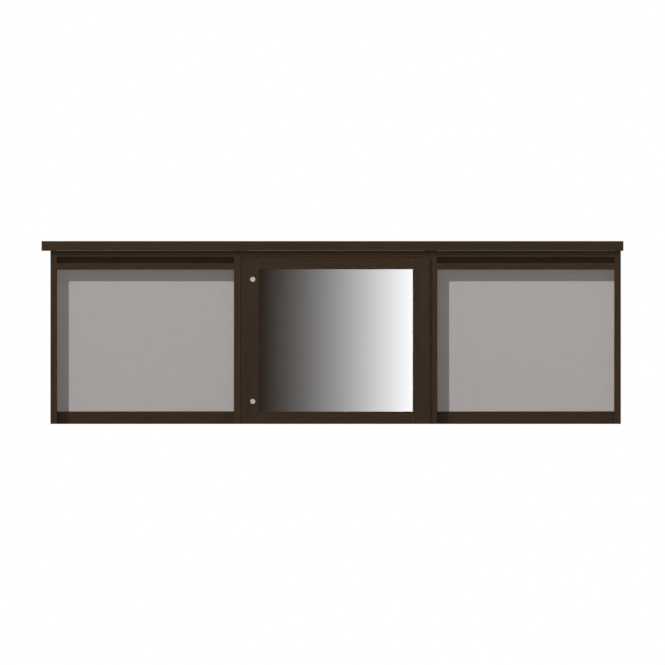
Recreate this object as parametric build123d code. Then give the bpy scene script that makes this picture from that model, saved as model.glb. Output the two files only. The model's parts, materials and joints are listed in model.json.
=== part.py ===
"""Outdoor notice board of three bays: two open ones beside a middle one with a glazed, lockable door.

Sizes are in millimetres. +X runs to the right, +Z up, and the front faces -Y. The wall is the plane
Y = 0, and a depth is a distance out from that wall, so that a depth d lies at Y = -d.
"""

import os
from collections import defaultdict
from dataclasses import dataclass

from build123d import *

# Whole board
bay_width = 814.0
body_height = 741.0
arris = 1.0
fit_clearance = 0.1

# Rain cap
cap_thickness = 42.0
cap_front_overhang = 19.0
cap_left_overhang = 38.0
cap_right_overhang = 11.0
cap_edge_radius = 2.0
drip_strip_height = 3.5
drip_strip_depth = 12.0
drip_strip_setback = 0.5

# Frame boards
stile_width = 27.0
header_top_strip = 27.0
groove_height = 25.0
groove_depth = 30.0
header_lower_strip = 27.0
foot_height = 53.0
foot_proud = 3.5

# Back of the board
batten_thickness = 18.0
batten_height = 60.0
panel_thickness = 10.0
pinboard_thickness = 9.0
pinboard_clearance = 0.5

# Wall fixings
insert_diameter = 12.0
insert_bore = 6.8

# Door
door_thickness = 28.0
door_gap = 1.5
door_seal_gap = 3.0
door_seal_width = 10.0
door_seal_clearance = 0.3
door_side_width = 77.0
glazing_thickness = 4.0
glazing_lip = 8.0
gasket_thickness = 1.5
gasket_setback = 1.0
rebate_cover = 12.0
pane_cover = 10.0
block_length = 60.0
block_offset = 200.0
dowel_diameter = 8.0
dowel_length = 60.0
dowel_gap = 18.0

# Continuous hinge
leaf_thickness = 1.2
leaf_clearance = 0.6
leaf_width = 25.0
leaf_end_margin = 3.0
knuckle_radius = 2.45
knuckle_stand_off = 0.3
knuckle_count = 14
knuckle_end_gap = 0.4
hinge_pin_radius = 1.2
running_clearance = 0.05
hinge_screw_count = 7

# Locks
lock_wall = 3.5
lock_sight_offset = 43.0
lock_face_radius = 11.0
lock_face_height = 3.0
lock_face_round = 1.2
barrel_radius = 9.5
barrel_cam_gap = 0.5
lock_nut_radius = 13.8
lock_nut_height = 5.0
plug_radius = 6.0
plug_recess = 0.4
keyway_width = 1.8
keyway_height = 8.0
keyway_depth = 12.0
tail_size = 7.0
tail_shy = 0.2
cam_tip_clearance = 1.0
cam_half_width = 8.0
cam_thickness = 3.0
cam_corner = 3.0
cam_screw_head_radius = 5.0
cam_screw_head_height = 2.5
cam_screw_radius = 2.0
cam_screw_bite = 8.0
cam_screw_socket = 2.2
lock_back_space = 7.0

# Keeps
keep_setback = 4.0
keep_thickness = 2.0
keep_barrel_clearance = 1.5
keep_height = 40.0
keep_screw_offset = 12.0
keep_clearance = 1.0
keep_cam_gap = 0.5

# Bolts that join the bays
bolt_diameter = 6.0
bolt_head_height = 3.5
nut_radius = 6.35
nut_height = 7.0
nut_shy = 0.5
bolt_clearance = 1.0

# Places of screws
panel_screw_inset = 45.5
fixing_steps = 6.5
batten_steps = 5.0
bolt_steps = 3.5
near_steps = 2.0
bead_screw_spacing = 220.0
cap_screw_inset = 19.0
cap_screw_inset_door = 6.0

# Screws
screw_head_ratio = 2.0
screw_socket_ratio = 0.36
socket_share = 0.8
head_floor = 0.1
frame_screw_diameter = 4.5
frame_screw_head = 3.0
frame_screw_bite = 32.0
cap_screw_diameter = 5.0
cap_screw_head = 3.5
cap_screw_bite = 26.0
panel_screw_diameter = 4.0
panel_screw_head = 2.5
panel_screw_bite = 26.0
batten_screw_diameter = 5.0
batten_screw_head = 3.5
batten_screw_bite = 24.0
bead_screw_diameter = 3.0
bead_screw_head = 2.0
bead_screw_bite = 13.0
hinge_screw_diameter = 3.0
hinge_screw_bite = 16.8
keep_screw_diameter = 3.0
keep_screw_bite = 10.0


@dataclass(frozen=True)
class Screw:
    """A countersunk screw with a six-sided socket."""

    diameter: float
    head_height: float
    length: float

    @property
    def head_radius(self):
        """Half the width of the head."""
        return self.diameter * screw_head_ratio / 2

    @property
    def socket_radius(self):
        """Half the width of the socket, from corner to corner."""
        return self.diameter * screw_socket_ratio


frame_screw = Screw(frame_screw_diameter, frame_screw_head, stile_width + frame_screw_bite)
cap_screw = Screw(cap_screw_diameter, cap_screw_head, cap_thickness + cap_screw_bite)
panel_screw = Screw(panel_screw_diameter, panel_screw_head, panel_thickness + panel_screw_bite)
batten_screw = Screw(
    batten_screw_diameter, batten_screw_head, batten_thickness + panel_thickness + batten_screw_bite
)
bead_screw = Screw(bead_screw_diameter, bead_screw_head, rebate_cover + bead_screw_bite)
hinge_screw = Screw(hinge_screw_diameter, leaf_thickness - head_floor, leaf_thickness + hinge_screw_bite)
keep_screw = Screw(keep_screw_diameter, keep_thickness - head_floor, keep_thickness + keep_screw_bite)
joining_bolt = Screw(bolt_diameter, bolt_head_height, 2 * stile_width + nut_height - nut_shy)

# Depths, out from the wall
panel_front = batten_thickness + panel_thickness
pin_face = panel_front + pinboard_thickness
lock_space = keep_setback + keep_thickness + keep_cam_gap + cam_thickness + cam_screw_head_height
stop_face = pin_face + lock_space + lock_back_space
door_back = stop_face + door_seal_gap
face = door_back + door_thickness
foot_front = pin_face + foot_proud
inner_depth = (panel_front + stop_face) / 2
bolt_depth = pin_face + nut_radius + bolt_clearance
cap_front = face + cap_front_overhang
glass_front = face - glazing_lip - gasket_thickness
glass_back = glass_front - glazing_thickness

# Heights
body_bottom = -body_height / 2
body_top = body_height / 2
groove_top = body_top - header_top_strip
groove_bottom = groove_top - groove_height
opening_top = groove_bottom - header_lower_strip
opening_bottom = body_bottom + foot_height
fixing_step = (body_height / 2 - panel_screw_inset) / fixing_steps
batten_level = batten_steps * fixing_step

# Places from left to right
bay_centres = {"left": -bay_width, "middle": 0.0, "right": bay_width}
half_bay = bay_width / 2
board_left = bay_centres["left"] - half_bay
board_right = bay_centres["right"] + half_bay
opening_half = half_bay - stile_width
sight_half = half_bay - door_side_width
hinge_gap = 2 * leaf_thickness + leaf_clearance
door_left = -half_bay + door_gap
door_right = half_bay - hinge_gap
door_top = groove_top - door_gap
door_bottom = body_bottom
rebate_half = sight_half + rebate_cover
pane_half = sight_half + pane_cover
hinge_x = half_bay - hinge_gap / 2
hinge_depth = face + knuckle_radius + knuckle_stand_off
lock_x = -(rebate_half + lock_wall + barrel_radius)
lock_to_stile = opening_half + lock_x
cam_reach = lock_to_stile - keep_thickness - cam_tip_clearance
keep_lip = lock_to_stile - barrel_radius - keep_barrel_clearance
lock_levels = {"upper": opening_top - lock_sight_offset, "lower": opening_bottom + lock_sight_offset}
keep_front = stop_face - keep_setback
cam_seat = face - (keep_front - keep_thickness - keep_cam_gap)

BASE = (Align.CENTER, Align.CENTER, Align.MIN)

STILES = {
    "left_bay_outer_stile": ("left", -1),
    "left_bay_inner_stile": ("left", 1),
    "middle_bay_left_stile": ("middle", -1),
    "middle_bay_right_stile": ("middle", 1),
    "right_bay_inner_stile": ("right", -1),
    "right_bay_outer_stile": ("right", 1),
}
HEADERS = {"left": "left_bay_header", "middle": "middle_bay_header", "right": "right_bay_header"}
FEET = {"left": "left_bay_foot_rail", "middle": "middle_bay_sill", "right": "right_bay_foot_rail"}

pieces = {}
cuts = defaultdict(list)


def block(left, right, back, front, bottom, top):
    """A straight-sided block between two depths out from the wall."""
    middle = Pos((left + right) / 2, -(back + front) / 2, (bottom + top) / 2)
    return middle * Box(right - left, front - back, top - bottom)


def ease_front(board, axis, radius):
    """Rounds the front edges of a board that run along one axis."""
    edges = board.edges().filter_by(axis).group_by(Axis.Y)[0]
    return fillet(edges, radius)


def post(radius, start, length):
    """A round bar along the local Z axis."""
    return Pos(0, 0, start) * Cylinder(radius, length, align=BASE)


def hexagon(radius, start, length):
    """A six-sided bar along the local Z axis."""
    return Pos(0, 0, start) * extrude(RegularPolygon(radius, 6), length)


def along(point, direction):
    """A plane at a point, whose Z axis runs along a direction."""
    return Plane(origin=point, z_dir=direction)


def make_screw(size, point, direction):
    """A screw whose head lies flush at the point."""
    shank_radius = size.diameter / 2
    head = Cone(size.head_radius, shank_radius, size.head_height, align=BASE)
    shank = post(shank_radius, 0, size.length)
    socket = hexagon(size.socket_radius, 0, size.head_height * socket_share)
    return along(point, direction) * (head + shank - socket)


def screw_hole(size, point, direction):
    """The countersunk hole that a screw sits in."""
    head_radius = size.head_radius + fit_clearance
    shank_radius = size.diameter / 2 + fit_clearance
    head = Cone(head_radius, shank_radius, size.head_height, align=BASE)
    shank = post(shank_radius, 0, size.length + fit_clearance)
    return along(point, direction) * (head + shank)


def set_screw(group, size, point, direction, through):
    """Puts a screw in a group and its hole in every piece that it passes through."""
    pieces.setdefault(group, []).append(make_screw(size, point, direction))
    for name in through:
        cuts[name].append(screw_hole(size, point, direction))


def stile_span(bay, side):
    """The left and right faces of one of a bay's two stiles."""
    outer = bay_centres[bay] + side * half_bay
    inner = outer - side * stile_width
    return min(outer, inner), max(outer, inner)


def stile_front(bay):
    """How far out a bay's stiles stand: the middle ones stop short, behind the door."""
    return stop_face if bay == "middle" else face


def make_stile(bay, side):
    """An upright board at one side of a bay: in the middle bay its head comes out over the door."""
    left, right = stile_span(bay, side)
    board = block(left, right, panel_front, stile_front(bay), body_bottom, body_top)
    board = ease_front(board, Axis.Z, arris)
    if bay == "middle":
        head = block(left, right, panel_front, face, groove_top, body_top)
        board += ease_front(head, Axis.Z, arris)
    return board


def make_open_header(centre):
    """The head board of an open bay, with a deep groove along its face."""
    left = centre - opening_half
    right = centre + opening_half
    board = block(left, right, panel_front, face, opening_top, body_top)
    groove = block(left, right, face - groove_depth, face, groove_bottom, groove_top)
    return ease_front(board - groove, Axis.X, arris)


def make_door_header(centre):
    """The head board of the middle bay: a strip above the door and a stop behind it."""
    left = centre - opening_half
    right = centre + opening_half
    strip = block(left, right, panel_front, face, groove_top, body_top)
    stop = block(left, right, panel_front, stop_face, opening_top, groove_top)
    return ease_front(strip + stop, Axis.X, arris)


def make_foot(bay):
    """The lowest board of a bay, set back to the pinboard or to the door's stop."""
    centre = bay_centres[bay]
    front = stop_face if bay == "middle" else foot_front
    board = block(
        centre - opening_half, centre + opening_half, panel_front, front, body_bottom, opening_bottom
    )
    return ease_front(board, Axis.X, arris)


def drip_space(centre, front):
    """The space under the cap's front edge, over one bay's opening, out to a given depth."""
    left = centre - opening_half
    right = centre + opening_half
    return block(left, right, cap_front - drip_strip_depth, front, body_top, body_top + drip_strip_height)


def make_cap():
    """The full-length rain cap, rebated under its front edge for the drip strips."""
    left = board_left - cap_left_overhang
    right = board_right + cap_right_overhang
    board = block(left, right, 0, cap_front, body_top, body_top + cap_thickness)
    board = fillet(board.edges().filter_by(Axis.X), cap_edge_radius)
    return board - [drip_space(centre, cap_front) for centre in bay_centres.values()]


def make_panel(centre):
    """The weatherproof back of one bay."""
    return block(
        centre - half_bay, centre + half_bay, batten_thickness, panel_front, body_bottom, body_top
    )


def make_pinboard(centre):
    """The board that notices are pinned to."""
    half = opening_half - pinboard_clearance
    return block(centre - half, centre + half, panel_front, pin_face, opening_bottom, opening_top)


def make_batten(level):
    """A full-width batten that holds the board off the wall."""
    half = batten_height / 2
    return block(board_left, board_right, 0, batten_thickness, level - half, level + half)


def make_inserts():
    """Threaded inserts in the backs of the battens, and their holes."""
    inserts = []
    for name, level in (("upper_wall_batten", batten_level), ("lower_wall_batten", -batten_level)):
        for x in (-bay_width, -half_bay / 2, half_bay / 2, bay_width):
            place = along((x, 0, level), (0, -1, 0))
            sleeve = post(insert_diameter / 2, 0, batten_thickness)
            inserts.append(place * (sleeve - post(insert_bore / 2, 0, batten_thickness)))
            cuts[name].append(place * post(insert_diameter / 2 + fit_clearance, 0, batten_thickness))
    return inserts


def make_frame():
    """The boards of all three bays."""
    for name, (bay, side) in STILES.items():
        pieces[name] = make_stile(bay, side)
    strips = []
    for bay, centre in bay_centres.items():
        pieces[HEADERS[bay]] = make_door_header(centre) if bay == "middle" else make_open_header(centre)
        pieces[FEET[bay]] = make_foot(bay)
        pieces[f"{bay}_back_panel"] = make_panel(centre)
        pieces[f"{bay}_pinboard"] = make_pinboard(centre)
        strips.append(drip_space(centre, cap_front - drip_strip_setback))
    pieces["cap_drip_strips"] = strips
    pieces["rain_cap"] = make_cap()
    pieces["upper_wall_batten"] = make_batten(batten_level)
    pieces["lower_wall_batten"] = make_batten(-batten_level)
    pieces["wall_fixing_inserts"] = make_inserts()


def fasten_stile(name, bay, side):
    """The screws that hold one stile to its header, its foot, its back panel, a batten and the cap."""
    outer = bay_centres[bay] + side * half_bay
    centre = outer - side * stile_width / 2
    inward = (-side, 0, 0)
    for level in (body_top - header_top_strip / 2, opening_top + header_lower_strip / 2):
        set_screw("frame_screws", frame_screw, (outer, -inner_depth, level), inward, [name, HEADERS[bay]])
    foot_depth = inner_depth if bay == "middle" else (panel_front + foot_front) / 2
    foot_level = (body_bottom + opening_bottom) / 2
    set_screw("frame_screws", frame_screw, (outer, -foot_depth, foot_level), inward, [name, FEET[bay]])

    panel = f"{bay}_back_panel"
    for steps in (-fixing_steps, -near_steps, near_steps, fixing_steps):
        point = (centre, -batten_thickness, steps * fixing_step)
        set_screw("back_panel_screws", panel_screw, point, (0, -1, 0), [panel, name])
    for batten, level in (("upper_wall_batten", batten_level), ("lower_wall_batten", -batten_level)):
        set_screw("batten_screws", batten_screw, (centre, 0, level), (0, -1, 0), [batten, panel, name])

    inset = cap_screw_inset_door if bay == "middle" else cap_screw_inset
    top = (centre, -(stile_front(bay) - inset), body_top + cap_thickness)
    set_screw("cap_screws", cap_screw, top, (0, 0, -1), ["rain_cap", name])


def join_bays(side, neighbour, middle):
    """The bolts and nuts through the two stiles where an open bay meets the middle one."""
    head_face = side * (half_bay + stile_width)
    inward = (-side, 0, 0)
    grip = 2 * stile_width
    for steps in (-bolt_steps, 0, bolt_steps):
        point = (head_face, -bolt_depth, steps * fixing_step)
        set_screw("bay_joining_bolts", joining_bolt, point, inward, [neighbour, middle])
        nut = hexagon(nut_radius, grip, nut_height)
        nut -= post(bolt_diameter / 2 + fit_clearance, grip, nut_height)
        pieces.setdefault("bay_joining_nuts", []).append(along(point, inward) * nut)


def fasten_frame():
    """All screws and bolts of the fixed part."""
    for name, (bay, side) in STILES.items():
        fasten_stile(name, bay, side)
    join_bays(-1, "left_bay_inner_stile", "middle_bay_left_stile")
    join_bays(1, "right_bay_inner_stile", "middle_bay_right_stile")


def make_door_seal():
    """Four soft strips on the stop that the door closes against."""
    front = door_back - door_seal_clearance
    half_width = door_seal_width / 2
    side = half_bay - stile_width / 2
    low = (body_bottom + opening_bottom) / 2
    high = (opening_top + groove_top) / 2
    upright = (low - half_width, high + half_width)
    return [
        block(-side - half_width, -side + half_width, stop_face, front, *upright),
        block(side - half_width, side + half_width, stop_face, front, *upright),
        block(-side + half_width, side - half_width, stop_face, front, low - half_width, low + half_width),
        block(-side + half_width, side - half_width, stop_face, front, high - half_width, high + half_width),
    ]


def make_door_frame():
    """The door's two stiles and two rails, rebated at the back for the glazing."""
    pocket = block(
        -rebate_half,
        rebate_half,
        door_back,
        face - glazing_lip,
        opening_bottom - rebate_cover,
        opening_top + rebate_cover,
    )
    lock_stile = block(door_left, -sight_half, door_back, face, door_bottom, door_top) - pocket
    hinge_stile = block(sight_half, door_right, door_back, face, door_bottom, door_top) - pocket
    top_rail = block(-sight_half, sight_half, door_back, face, opening_top, door_top) - pocket
    bottom_rail = block(-sight_half, sight_half, door_back, face, door_bottom, opening_bottom) - pocket
    pieces["door_lock_stile"] = ease_front(lock_stile, Axis.Z, arris)
    pieces["door_hinge_stile"] = ease_front(hinge_stile, Axis.Z, arris)
    pieces["door_top_rail"] = ease_front(top_rail, Axis.X, arris)
    pieces["door_bottom_rail"] = ease_front(bottom_rail, Axis.X, arris)


def make_dowels():
    """Two dowels in each corner joint of the door."""
    solid_depth = (door_back + face) / 2
    rails = {
        "door_top_rail": (opening_top + rebate_cover + door_top) / 2,
        "door_bottom_rail": (opening_bottom - rebate_cover + door_bottom) / 2,
    }
    stiles = {"door_lock_stile": -sight_half, "door_hinge_stile": sight_half}
    for rail, level in rails.items():
        for stile, x in stiles.items():
            for offset in (-dowel_gap / 2, dowel_gap / 2):
                place = along((x - dowel_length / 2, -solid_depth, level + offset), (1, 0, 0))
                pieces.setdefault("door_dowels", []).append(place * post(dowel_diameter / 2, 0, dowel_length))
                hole = place * post(dowel_diameter / 2 + fit_clearance, 0, dowel_length)
                cuts[rail].append(hole)
                cuts[stile].append(hole)


def make_gasket():
    """Four soft strips between the door's front lip and the glazing."""
    outer_x = pane_half
    inner_x = sight_half + gasket_setback
    outer_top = opening_top + pane_cover
    outer_low = opening_bottom - pane_cover
    inner_top = opening_top + gasket_setback
    inner_low = opening_bottom - gasket_setback
    front = glass_front + gasket_thickness
    return [
        block(-outer_x, outer_x, glass_front, front, inner_top, outer_top),
        block(-outer_x, outer_x, glass_front, front, outer_low, inner_low),
        block(-outer_x, -inner_x, glass_front, front, inner_low, inner_top),
        block(inner_x, outer_x, glass_front, front, inner_low, inner_top),
    ]


def make_setting_blocks():
    """The two blocks that carry the lower edge of the glazing."""
    low = opening_bottom - rebate_cover
    high = opening_bottom - pane_cover
    half = block_length / 2
    return [block(x - half, x + half, glass_back, glass_front, low, high) for x in (-block_offset, block_offset)]


def make_beads():
    """The four beads that hold the glazing in from behind, with their screws."""
    low = opening_bottom - rebate_cover
    high = opening_top + rebate_cover
    pieces["glazing_bead_top"] = block(-rebate_half, rebate_half, door_back, glass_back, opening_top, high)
    pieces["glazing_bead_bottom"] = block(
        -rebate_half, rebate_half, door_back, glass_back, low, opening_bottom
    )
    pieces["glazing_bead_lock_side"] = block(
        -rebate_half, -sight_half, door_back, glass_back, opening_bottom, opening_top
    )
    pieces["glazing_bead_hinge_side"] = block(
        sight_half, rebate_half, door_back, glass_back, opening_bottom, opening_top
    )
    depth = (door_back + glass_back) / 2
    centre = (opening_top + opening_bottom) / 2
    for offset in (-bead_screw_spacing, 0, bead_screw_spacing):
        places = (
            ("glazing_bead_top", "door_top_rail", (offset, -depth, opening_top), (0, 0, 1)),
            ("glazing_bead_bottom", "door_bottom_rail", (offset, -depth, opening_bottom), (0, 0, -1)),
            ("glazing_bead_lock_side", "door_lock_stile", (-sight_half, -depth, centre + offset), (-1, 0, 0)),
            ("glazing_bead_hinge_side", "door_hinge_stile", (sight_half, -depth, centre + offset), (1, 0, 0)),
        )
        for bead, board, point, direction in places:
            set_screw("bead_screws", bead_screw, point, direction, [bead, board])


def make_door():
    """The door without its hinge and locks."""
    make_door_frame()
    make_dowels()
    make_beads()
    pieces["door_glazing"] = block(
        -pane_half, pane_half, glass_back, glass_front, opening_bottom - pane_cover, opening_top + pane_cover
    )
    pieces["glazing_gasket"] = make_gasket()
    pieces["setting_blocks"] = make_setting_blocks()
    pieces["door_seal"] = make_door_seal()


def make_leaf(left, right, first):
    """One leaf of the hinge: a plate with every second knuckle, starting at the first given."""
    bottom = door_bottom + leaf_end_margin
    top = door_top - leaf_end_margin
    pitch = (top - bottom) / knuckle_count
    tab_end = hinge_depth - (hinge_pin_radius + knuckle_radius) / 2
    leaf = block(left, right, face - leaf_width, face, bottom, top)
    for index in range(first, knuckle_count, 2):
        low = bottom + index * pitch + knuckle_end_gap / 2
        high = bottom + (index + 1) * pitch - knuckle_end_gap / 2
        place = Pos(hinge_x, -hinge_depth, 0)
        leaf += block(left, right, face, tab_end, low, high)
        leaf += place * post(knuckle_radius, low, high - low)
        leaf -= place * post(hinge_pin_radius + running_clearance, low, high - low)
    return leaf


def make_hinge():
    """The continuous hinge down the door's right edge."""
    bottom = door_bottom + leaf_end_margin
    top = door_top - leaf_end_margin
    frame_face = half_bay - leaf_thickness
    door_face = door_right + leaf_thickness
    pieces["hinge_frame_leaf"] = make_leaf(frame_face, half_bay, 0)
    pieces["hinge_door_leaf"] = make_leaf(door_right, door_face, 1)
    pieces["hinge_pin"] = Pos(hinge_x, -hinge_depth, 0) * post(hinge_pin_radius, bottom, top - bottom)
    depth = face - leaf_width / 2
    spacing = (top - bottom) / hinge_screw_count
    for index in range(hinge_screw_count):
        level = bottom + (index + 1 / 2) * spacing
        set_screw(
            "hinge_frame_screws",
            hinge_screw,
            (frame_face, -depth, level),
            (1, 0, 0),
            ["hinge_frame_leaf", "right_bay_inner_stile"],
        )
        set_screw(
            "hinge_door_screws",
            hinge_screw,
            (door_face, -depth, level),
            (-1, 0, 0),
            ["hinge_door_leaf", "door_hinge_stile"],
        )


def make_barrel():
    """The fixed outside of a lock, whose local Z axis runs back from the door's face."""
    rim = post(lock_face_radius, -lock_face_height, lock_face_height)
    rim = fillet(rim.edges().filter_by(GeomType.CIRCLE).sort_by(Axis.Z)[0], lock_face_round)
    length = cam_seat - barrel_cam_gap
    bore = post(plug_radius + running_clearance, -lock_face_height, lock_face_height + length)
    return rim + post(barrel_radius, 0, length) - bore


def make_plug():
    """The part of a lock that turns with the key, with a square tail for the cam."""
    front = -lock_face_height + plug_recess
    body = post(plug_radius, front, cam_seat - front)
    tail_length = cam_thickness - tail_shy
    tail = Pos(0, 0, cam_seat) * Box(tail_size, tail_size, tail_length, align=BASE)
    keyway = Pos(0, 0, front) * Box(keyway_width, keyway_height, keyway_depth, align=BASE)
    screw_bore = post(
        cam_screw_radius + fit_clearance, cam_seat - cam_screw_bite, cam_screw_bite + cam_thickness
    )
    return body + tail - keyway - screw_bore


def make_cam():
    """The cam, which hangs straight down when the lock is open."""
    length = cam_reach
    arm = Pos(0, length / 2, cam_seat) * Box(2 * cam_half_width, length, cam_thickness, align=BASE)
    tip_edges = arm.edges().filter_by(Axis.Z).group_by(Axis.Y)[-1]
    arm = fillet(tip_edges, cam_corner)
    hub = post(cam_half_width, cam_seat, cam_thickness)
    hole_size = tail_size + 2 * fit_clearance
    hole = Pos(0, 0, cam_seat) * Box(hole_size, hole_size, cam_thickness, align=BASE)
    return arm + hub - hole


def make_cam_screw():
    """The screw that holds the cam on the plug."""
    start = cam_seat + cam_thickness
    head = post(cam_screw_head_radius, start, cam_screw_head_height)
    shank = post(cam_screw_radius, cam_seat - cam_screw_bite + fit_clearance, cam_screw_bite + cam_thickness)
    socket_depth = cam_screw_head_height * socket_share
    socket = hexagon(cam_screw_socket, start + cam_screw_head_height - socket_depth, socket_depth)
    return head + shank - socket


def make_keep(level):
    """The angle behind which a cam turns, with its screws."""
    inner = -opening_half
    low = level - keep_height / 2
    high = level + keep_height / 2
    leg = block(inner, inner + keep_thickness, pin_face + keep_clearance, keep_front, low, high)
    lip = block(inner, inner + keep_lip, keep_front - keep_thickness, keep_front, low, high)
    depth = (pin_face + keep_clearance + keep_front - keep_thickness) / 2
    keep = leg + lip
    for offset in (-keep_screw_offset, keep_screw_offset):
        point = (inner + keep_thickness, -depth, level + offset)
        set_screw("keep_screws", keep_screw, point, (-1, 0, 0), ["middle_bay_left_stile"])
        keep -= screw_hole(keep_screw, point, (-1, 0, 0))
    return keep


def make_locks():
    """Both locks and the keeps that their cams turn behind."""
    nut_start = face - door_back
    for name, level in lock_levels.items():
        place = Plane(origin=(lock_x, -face, level), x_dir=(1, 0, 0), z_dir=(0, 1, 0))
        pieces[f"{name}_lock_barrel"] = place * make_barrel()
        pieces[f"{name}_lock_plug"] = place * make_plug()
        pieces[f"{name}_lock_cam"] = place * make_cam()
        pieces[f"{name}_cam_screw"] = place * make_cam_screw()
        nut = hexagon(lock_nut_radius, nut_start, lock_nut_height)
        nut -= post(barrel_radius + fit_clearance, nut_start, lock_nut_height)
        pieces.setdefault("lock_nuts", []).append(place * nut)
        pieces.setdefault("lock_keeps", []).append(make_keep(level))
        cuts["door_lock_stile"].append(place * post(barrel_radius + fit_clearance, 0, nut_start))


def write_pieces():
    """Cuts every hole and writes one file for each node."""
    os.makedirs("parts", exist_ok=True)
    for name, shape in pieces.items():
        if isinstance(shape, list):
            shape = Compound(children=shape)
        elif cuts[name]:
            shape = shape - cuts[name]
        export_step(shape, f"parts/{name}.step")


make_frame()
fasten_frame()
make_door()
make_hinge()
make_locks()
write_pieces()
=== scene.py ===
"""Finishes, soft pieces and studio of an outdoor notice board with three bays.

Lengths are in metres. +X runs to the right, +Z up, and the board's front faces -Y.
"""

import json
import logging
import math
from collections.abc import Iterator
from dataclasses import dataclass
from enum import Enum
from functools import cache
from itertools import count
from typing import ClassVar

import bmesh
import bpy
from mathutils import Color, Matrix, Vector

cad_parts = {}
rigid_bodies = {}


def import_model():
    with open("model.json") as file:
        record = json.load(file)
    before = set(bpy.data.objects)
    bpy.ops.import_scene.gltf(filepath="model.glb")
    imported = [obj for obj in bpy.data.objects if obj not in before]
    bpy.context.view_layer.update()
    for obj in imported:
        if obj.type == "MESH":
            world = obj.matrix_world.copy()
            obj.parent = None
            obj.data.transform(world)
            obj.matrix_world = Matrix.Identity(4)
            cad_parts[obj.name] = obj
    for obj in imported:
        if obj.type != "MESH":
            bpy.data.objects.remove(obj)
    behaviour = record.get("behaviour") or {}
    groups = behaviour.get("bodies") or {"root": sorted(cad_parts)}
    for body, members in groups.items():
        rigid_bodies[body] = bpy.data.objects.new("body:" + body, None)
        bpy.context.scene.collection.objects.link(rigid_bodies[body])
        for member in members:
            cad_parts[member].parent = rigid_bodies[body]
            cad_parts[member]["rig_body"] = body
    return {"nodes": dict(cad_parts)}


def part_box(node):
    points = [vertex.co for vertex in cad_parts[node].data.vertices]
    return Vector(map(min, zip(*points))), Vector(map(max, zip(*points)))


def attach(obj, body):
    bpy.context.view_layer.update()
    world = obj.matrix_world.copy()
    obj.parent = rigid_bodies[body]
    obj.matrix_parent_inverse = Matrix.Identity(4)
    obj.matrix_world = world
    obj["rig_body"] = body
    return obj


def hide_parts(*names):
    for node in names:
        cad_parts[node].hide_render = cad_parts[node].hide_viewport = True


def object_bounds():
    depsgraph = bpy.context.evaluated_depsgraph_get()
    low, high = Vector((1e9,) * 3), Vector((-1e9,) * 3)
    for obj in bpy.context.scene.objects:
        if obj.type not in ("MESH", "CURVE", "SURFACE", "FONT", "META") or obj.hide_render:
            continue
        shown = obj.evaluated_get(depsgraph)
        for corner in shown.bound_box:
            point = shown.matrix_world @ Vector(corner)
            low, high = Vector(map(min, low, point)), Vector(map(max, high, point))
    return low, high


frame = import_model()
CAD_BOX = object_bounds()

LOG = logging.getLogger("notice_board")
MM = 0.001
FLUSH = MM / 100
MERGED = MM / 1000
WHITE = (1.0, 1.0, 1.0, 1.0)

VECTOR = "NodeSocketVector"
FLOAT = "NodeSocketFloat"
COLOUR = "NodeSocketColor"
MIX_SHARE = 0
MIX_FIRST = 6
MIX_SECOND = 7
MIX_COLOUR = 2

Colour = tuple[float, float, float, float]
Feed = bpy.types.NodeSocket | float | Colour | Vector
Span = tuple[float, float]
Box = tuple[Vector, Vector]


def srgb(red: int, green: int, blue: int) -> Colour:
    """Reads a colour given on the usual scale of 0 to 255.

    Args:
        red: share of red.
        green: share of green.
        blue: share of blue.

    Returns:
        The linear colour, with full opacity.
    """
    linear = Color((red / 255, green / 255, blue / 255)).from_srgb_to_scene_linear()
    return (*linear, 1.0)


def shaded(colour: Colour, share: float) -> Colour:
    """Darkens or lightens a colour, of which the given share of light is kept."""
    return (*(share * part for part in colour[:3]), 1.0)


class Run(Enum):
    """The way that a piece's length, and so its grain, runs."""

    ACROSS = Vector((1, 0, 0))
    UPRIGHT = Vector((0, 0, 1))
    INWARD = Vector((0, 1, 0))

    def scale(self, along: float, over: float) -> Vector:
        """Gives one number along the run and another over the two other ways."""
        return Vector(along if part else over for part in self.value)


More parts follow.
